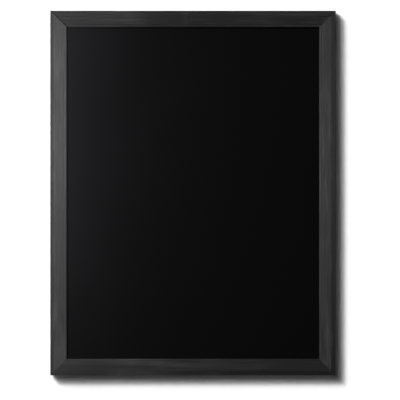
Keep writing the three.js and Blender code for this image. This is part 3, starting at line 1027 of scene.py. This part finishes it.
def makeRing(hanger):
    r = ringWire
    axis = hangerAxis(hanger)
    deselectAll()
    bpy.ops.mesh.primitive_circle_add(
        vertices=r["sides"], radius=r["radius"], rotation=(0, quarterTurn, 0),
        location=(axis.x + r["jointGap"] / 2, axis.y, axis.z),
    )
    piece = nameAndEdit(hanger["name"] + "_ring_wire")
    bar = (r["barHalf"] - r["jointGap"] / 2, 0, 0)
    bendZ = axis.z + r["cornerRadius"]
    bend = {"steps": r["cornerSteps"], "angle": quarterTurn, "axis": (0, 1, 0)}
    extrudeBy(bar)
    bpy.ops.mesh.spin(center=(axis.x + r["barHalf"], axis.y, bendZ), **bend)
    extrudeBy((0, 0, r["sideLength"]))
    bpy.ops.mesh.spin(
        steps=r["bowSteps"], angle=halfTurn, center=(axis.x, axis.y, bendZ + r["sideLength"]),
        axis=(0, 1, 0),
    )
    extrudeBy((0, 0, -r["sideLength"]))
    bpy.ops.mesh.spin(center=(axis.x - r["barHalf"], axis.y, bendZ), **bend)
    extrudeBy(bar)
    barTop = axis.z + r["radius"] + making["near"]
    for end in (1, -1):  # the wire's two cut ends
        endX = axis.x + end * r["jointGap"] / 2
        pick(lambda v: abs(v.x - endX) < making["near"] and v.z < barTop)
        bpy.ops.mesh.edge_face_add()
    closeShell()
    easeEdges(piece, r["easedEnd"])
    finish(piece, hanger["ring"], "zinc_plate", zinc, hanger["name"] + "_ring")


def makeScrewPattern():
    # with the underside of its head at zero, and its head towards +Y
    s = screw
    dome = arcPlaces(
        (0, s["rimHeight"]), (s["headRadius"], s["headHeight"] - s["rimHeight"]),
        0, quarterTurn, s["domeSteps"],
    )
    pattern = turnProfile("screwPattern", [
        (0, -s["length"]), (s["shankRadius"], -s["length"] + s["tipLength"]),
        (s["shankRadius"], 0), (s["headRadius"], 0), *dome,
    ], s["steps"])
    easeEdges(pattern, s["easedEdge"])
    floorY = s["headHeight"] - s["recessDepth"]
    blades = []
    for across, up in ((s["recessSpan"], s["recessWidth"]), (s["recessWidth"], s["recessSpan"])):
        size = (across, 2 * s["recessDepth"], up)
        blade = addBlock("recessBlade", (0, s["headHeight"], 0), size)
        pick(lambda v: v.y < floorY + making["near"])
        bpy.ops.transform.resize(
            value=(s["recessTaper"], 1, s["recessTaper"]), center_override=(0, floorY, 0),
        )
        bpy.ops.object.mode_set(mode="OBJECT")
        blades.append(blade)
    cutWith(pattern, blades)
    editPiece(pattern)
    closeShell()
    return pattern


screwPattern = makeScrewPattern()
for hanger in hangers:
    makeStrap(hanger)
    makeRing(hanger)
    for node, turn in zip(screwNodes(hanger), screw["turns"]):
        middle = middleOf(node)
        piece = copyPiece(screwPattern, node + "_steel")
        moveTo(piece, turn, (middle.x, backY + screw["underHead"], middle.z))
        finish(piece, "frame", "zinc_plate", zinc, node)
bpy.data.objects.remove(screwPattern)
print("hangers made")

# Wall pads: moulded rubber buttons
wallPad = {
    "thickness": mm(5),
    "baseRadius": mm(8),
    "faceRadius": mm(6.4),
    "baseEdge": mm(0.6),
    "edgeRound": mm(1.2),
    "dishRadius": mm(2.2),  # a shallow mark of the mould in the middle of the face
    "dishDepth": mm(0.35),
    "easedEdge": mm(0.12),
    "steps": 64,
    "edgeSteps": 8,
}


def makePadPattern():
    # with its base at zero, and its face towards +Y
    p = wallPad
    edge = arcPlaces(
        (p["faceRadius"] - p["edgeRound"], p["thickness"] - p["edgeRound"]),
        (p["edgeRound"], p["edgeRound"]), 0, quarterTurn, p["edgeSteps"],
    )
    dishFloor = p["thickness"] - p["dishDepth"]
    pattern = turnProfile("padPattern", [
        (0, 0), (p["baseRadius"], 0), (p["baseRadius"], p["baseEdge"]), *edge,
        (p["dishRadius"] + p["dishDepth"], p["thickness"]),
        (p["dishRadius"], dishFloor), (0, dishFloor),
    ], p["steps"])
    easeEdges(pattern, p["easedEdge"])
    return pattern


padPattern = makePadPattern()
for corner in corners:
    node = "wall_pad_" + corner["name"]
    middle = middleOf(node)
    pad = copyPiece(padPattern, node + "_button")
    moveTo(pad, 0.0, (middle.x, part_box(node)[0].y, middle.z))
    finish(pad, "frame", "rubber", padRubber, node)
bpy.data.objects.remove(padPattern)
print("wall pads made")

# Camera: square to the board, through a long lens from far off, because in the photograph the
# shadow starts close to the board's corners and none of the frame's sides shows
photo = {
    "width": 400,
    "boardMiddle": (193.0, 193.05),  # where the board's middle falls in the frame
    "millimetresPerPixel": 2.452,
}
lens = {"focal": 400, "sensor": 36}


def makeCamera():
    pixel = mm(photo["millimetresPerPixel"])
    distance = pixel * photo["width"] * lens["focal"] / lens["sensor"]
    outlineY = frontY + moulding["slopeDepth"]
    half = photo["width"] / 2
    offX = (half - photo["boardMiddle"][0]) * pixel
    offZ = (photo["boardMiddle"][1] - half) * pixel
    deselectAll()
    bpy.ops.object.camera_add(
        location=(offX, outlineY - distance, offZ), rotation=(quarterTurn, 0, 0),
    )
    camera = bpy.context.object
    camera.name = "photoCamera"
    camera.data.lens = lens["focal"]
    camera.data.sensor_width = lens["sensor"]
    bpy.context.scene.camera = camera


makeCamera()

# Wall: white, and seen only from the room's side. From behind it lets the eye and the light
# through, so that the board's back can be looked at.
wall = {"size": 8.0, "y": mm(0.4), "white": "#f4f4f4", "eyeGain": 1.21}


def makeWall():
    piece = addPlate("wall", (0, wall["y"], 0), wall["size"], wall["size"])
    bpy.ops.object.mode_set(mode="OBJECT")
    material = bpy.data.materials.new("whiteWallPaint")
    tree = emptyTree(material)
    path = addNode(tree, "ShaderNodeLightPath")
    facing = addNode(tree, "ShaderNodeNewGeometry")
    colour = addNode(
        tree, "ShaderNodeMix", {"data_type": "RGBA"}, Factor=path.outputs["Is Camera Ray"],
        _6=linear(wall["white"]), _7=linear(wall["white"], wall["eyeGain"]),
    )
    paint = addNode(tree, "ShaderNodeBsdfDiffuse", Color=colour.outputs[2])
    clear = addNode(tree, "ShaderNodeBsdfTransparent")
    letThrough = addNode(
        tree, "ShaderNodeMath", {"operation": "MAXIMUM"},
        _0=facing.outputs["Backfacing"], _1=path.outputs["Is Shadow Ray"],
    )
    mix = addNode(
        tree, "ShaderNodeMixShader", _0=letThrough.outputs["Value"],
        _1=paint.outputs["BSDF"], _2=clear.outputs["BSDF"],
    )
    addNode(tree, "ShaderNodeOutputMaterial", Surface=mix.outputs["Shader"])
    piece.data.materials.append(material)


makeWall()

# Lamps: a soft key high on the left in front, and a large panel at the left that shows only as
# a reflection, which greys the sheet and the frame towards the left as in the photograph.
# The key is three suns on one axis, so that its shadow fades evenly, as a studio lamp's does.
keyLamp = {
    "slope": (-1.035, 1.085),  # across and up, for each metre in front of the wall
    "strength": 5.7,  # a white wall square to the camera then renders as white
    "discs": [(10, 0.31), (33, 0.45), (66, 0.24)],  # degrees across, share of the light
}

# The back lamps light the board from behind the wall, for the views of its back
panelLamps = {
    "sheenLamp": {
        "location": (-0.74, -0.85, 0.19), "size": (0.425, 1.01), "power": 16, "diffuse": False,
    },
    "backLamp": {"location": (0.8, 2.2, 1.4), "size": (2.0, 2.0), "power": 130, "diffuse": True},
    "sideLamp": {"location": (2.4, 0.7, -1.2), "size": (1.0, 1.0), "power": 45, "diffuse": True},
}


def addLamp(name, kind, location):
    # aimed at the board's middle, and not seen itself
    deselectAll()
    bpy.ops.object.light_add(type=kind, location=location)
    lamp = bpy.context.object
    lamp.name = name
    lamp.rotation_euler = (-Vector(location)).to_track_quat("-Z", "Y").to_euler()
    lamp.visible_camera = False
    return lamp


def makeLamps():
    across, up = keyLamp["slope"]
    for i, (width, share) in enumerate(keyLamp["discs"]):
        sun = addLamp(f"keySun_{i + 1}", "SUN", (across, -1, up))
        sun.data.angle = math.radians(width)
        sun.data.energy = keyLamp["strength"] * share
    for name, settings in panelLamps.items():
        lamp = addLamp(name, "AREA", settings["location"])
        lamp.data.shape = "RECTANGLE"
        lamp.data.size, lamp.data.size_y = settings["size"]
        lamp.data.energy = settings["power"]
        lamp.visible_diffuse = settings["diffuse"]


makeLamps()

# World: white to the eye, and in reflections of the wall's side. The room in front of the board
# is dim, so that its face stays black.
roomLight = {"colour": "#ffffff", "seen": 1.0, "dim": 0.013}


def makeWorld():
    world = bpy.data.worlds.new("room")
    bpy.context.scene.world = world
    tree = emptyTree(world)
    path = addNode(tree, "ShaderNodeLightPath")
    coords = addNode(tree, "ShaderNodeTexCoord")
    axes = addNode(tree, "ShaderNodeSeparateXYZ", Vector=coords.outputs["Generated"])
    behind = addNode(
        tree, "ShaderNodeMath", {"operation": "GREATER_THAN"}, _0=axes.outputs["Y"], _1=0.0,
    )
    mirrored = addNode(
        tree, "ShaderNodeMath", {"operation": "MAXIMUM"},
        _0=path.outputs["Is Glossy Ray"], _1=path.outputs["Is Transmission Ray"],
    )
    mirroredBehind = addNode(
        tree, "ShaderNodeMath", {"operation": "MULTIPLY"},
        _0=mirrored.outputs["Value"], _1=behind.outputs["Value"],
    )
    seen = addNode(
        tree, "ShaderNodeMath", {"operation": "MAXIMUM"},
        _0=path.outputs["Is Camera Ray"], _1=mirroredBehind.outputs["Value"],
    )
    strength = addNode(
        tree, "ShaderNodeMapRange", Value=seen.outputs["Value"],
        To_Min=roomLight["dim"], To_Max=roomLight["seen"],
    )
    background = addNode(
        tree, "ShaderNodeBackground", Color=linear(roomLight["colour"]),
        Strength=strength.outputs["Result"],
    )
    addNode(tree, "ShaderNodeOutputWorld", Surface=background.outputs["Background"])


makeWorld()
print("camera, wall and light ready")

bpy.context.scene.view_settings.view_transform = "Standard"
